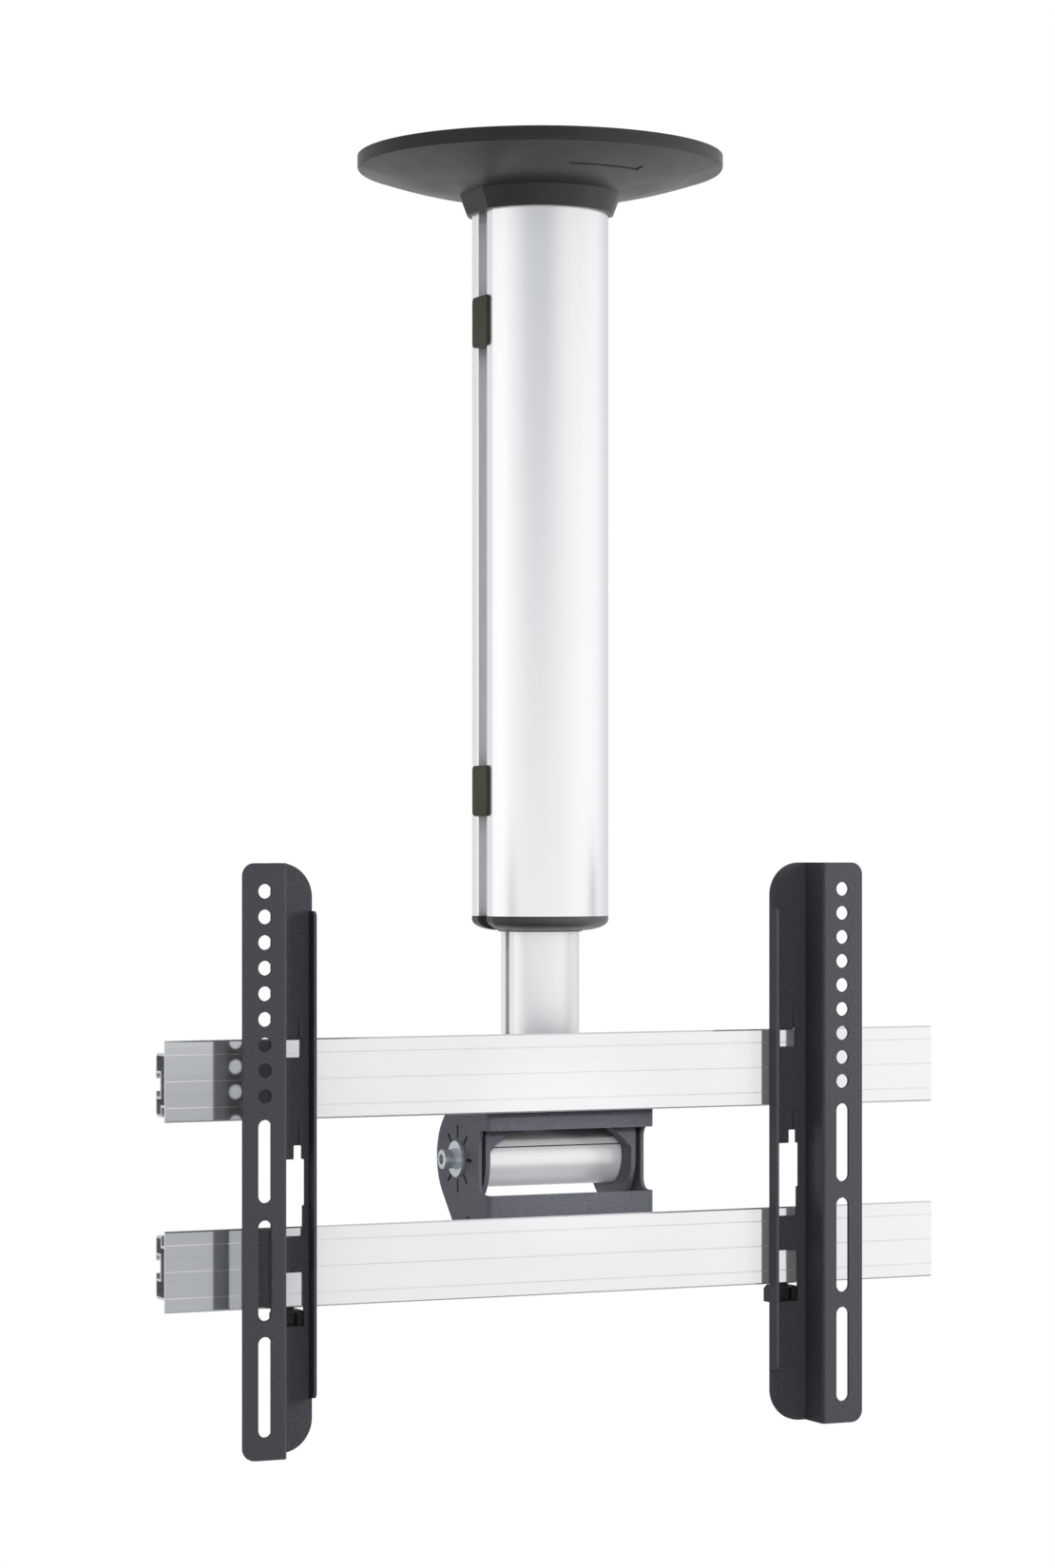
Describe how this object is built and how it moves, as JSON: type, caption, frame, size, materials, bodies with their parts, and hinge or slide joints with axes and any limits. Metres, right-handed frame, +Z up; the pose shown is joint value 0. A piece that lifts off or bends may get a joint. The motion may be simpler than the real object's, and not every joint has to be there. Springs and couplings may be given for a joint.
{
  "type": "tv ceiling mount",
  "caption": "Telescopic television ceiling mount: dished ceiling cover, grooved aluminium column, tilt head, horizontal rails and folded steel arms for the screen.",
  "frame": {"origin": "centre of the ceiling plate's upper face, on the column's axis", "axes": "+Z up to the ceiling, -Y towards the screen, X along the rails"},
  "size_m": [0.688, 0.3054, 1.056],
  "materials": {
    "plate_steel": "plain zinc-plated plate",
    "zinc_steel": "bright zinc plating",
    "cover_plastic": "satin black, fine grain",
    "column_aluminium": "satin anodised",
    "cap_plastic": "satin black",
    "guide_plastic": "plain black sliding plastic",
    "clip_plastic": "satin olive grey",
    "inner_aluminium": "satin anodised",
    "head_paint": "black powder coat, fine texture",
    "bar_aluminium": "satin extruded",
    "rail_aluminium": "satin anodised",
    "arm_paint": "black powder coat, fine texture",
    "latch_steel": "black powder coat"
  },
  "bodies": {
    "column": {"ceiling_plate": "plate_steel", "column_screws": "zinc_steel", "ceiling_cover": "cover_plastic", "outer_column": "column_aluminium", "column_end_cap": "cap_plastic", "lower_guide_bush": "guide_plastic", "telescope_lock_screws": "zinc_steel", "cable_clip_upper": "clip_plastic", "cable_clip_lower": "clip_plastic"},
    "mast": {"inner_column": "inner_aluminium", "upper_guide_block": "guide_plastic", "swivel_plug": "plate_steel", "swivel_washer": "guide_plastic", "swivel_bolt": "zinc_steel"},
    "yoke": {"tilt_yoke": "head_paint", "tilt_bar": "bar_aluminium", "friction_disc_left": "guide_plastic", "friction_disc_right": "guide_plastic", "tilt_washer_left": "zinc_steel", "tilt_washer_right": "zinc_steel", "spring_washer_left": "zinc_steel", "spring_washer_right": "zinc_steel", "tilt_bolt_left": "zinc_steel", "tilt_bolt_right": "zinc_steel"},
    "head": {"tilt_bracket": "head_paint", "upper_rail": "rail_aluminium", "lower_rail": "rail_aluminium", "rail_bolts": "zinc_steel", "rail_slot_nuts": "zinc_steel"},
    "arm_left": {"left_arm": "arm_paint", "latch_screw_left": "latch_steel"},
    "arm_right": {"right_arm": "arm_paint", "latch_screw_right": "latch_steel"},
    "latch_left_body": {"latch_left": "latch_steel"},
    "latch_right_body": {"latch_right": "latch_steel"}
  },
  "joints": [
    {"name": "telescope", "type": "slide", "parent": "column", "child": "mast", "axis": [0, 0, 1], "range_m": [-0.3, 0.06]},
    {"name": "head_swivel", "type": "hinge", "parent": "mast", "child": "yoke", "pos_m": [0, 0, -0.783], "axis": [0, 0, 1], "range_deg": [-45, 45]},
    {"name": "head_tilt", "type": "hinge", "parent": "yoke", "child": "head", "pos_m": [0, 0, -0.835], "axis": [1, 0, 0], "range_deg": [-5, 20]},
    {"name": "left_arm_slide", "type": "slide", "parent": "head", "child": "arm_left", "axis": [1, 0, 0], "range_m": [-0.085, 0.23]},
    {"name": "right_arm_slide", "type": "slide", "parent": "head", "child": "arm_right", "axis": [1, 0, 0], "range_m": [-0.162, 0.12]},
    {"name": "left_latch_slide", "type": "slide", "parent": "arm_left", "child": "latch_left_body", "axis": [0, 0, -1], "range_m": [0, 0.009]},
    {"name": "right_latch_slide", "type": "slide", "parent": "arm_right", "child": "latch_right_body", "axis": [0, 0, -1], "range_m": [0, 0.009]}
  ]
}
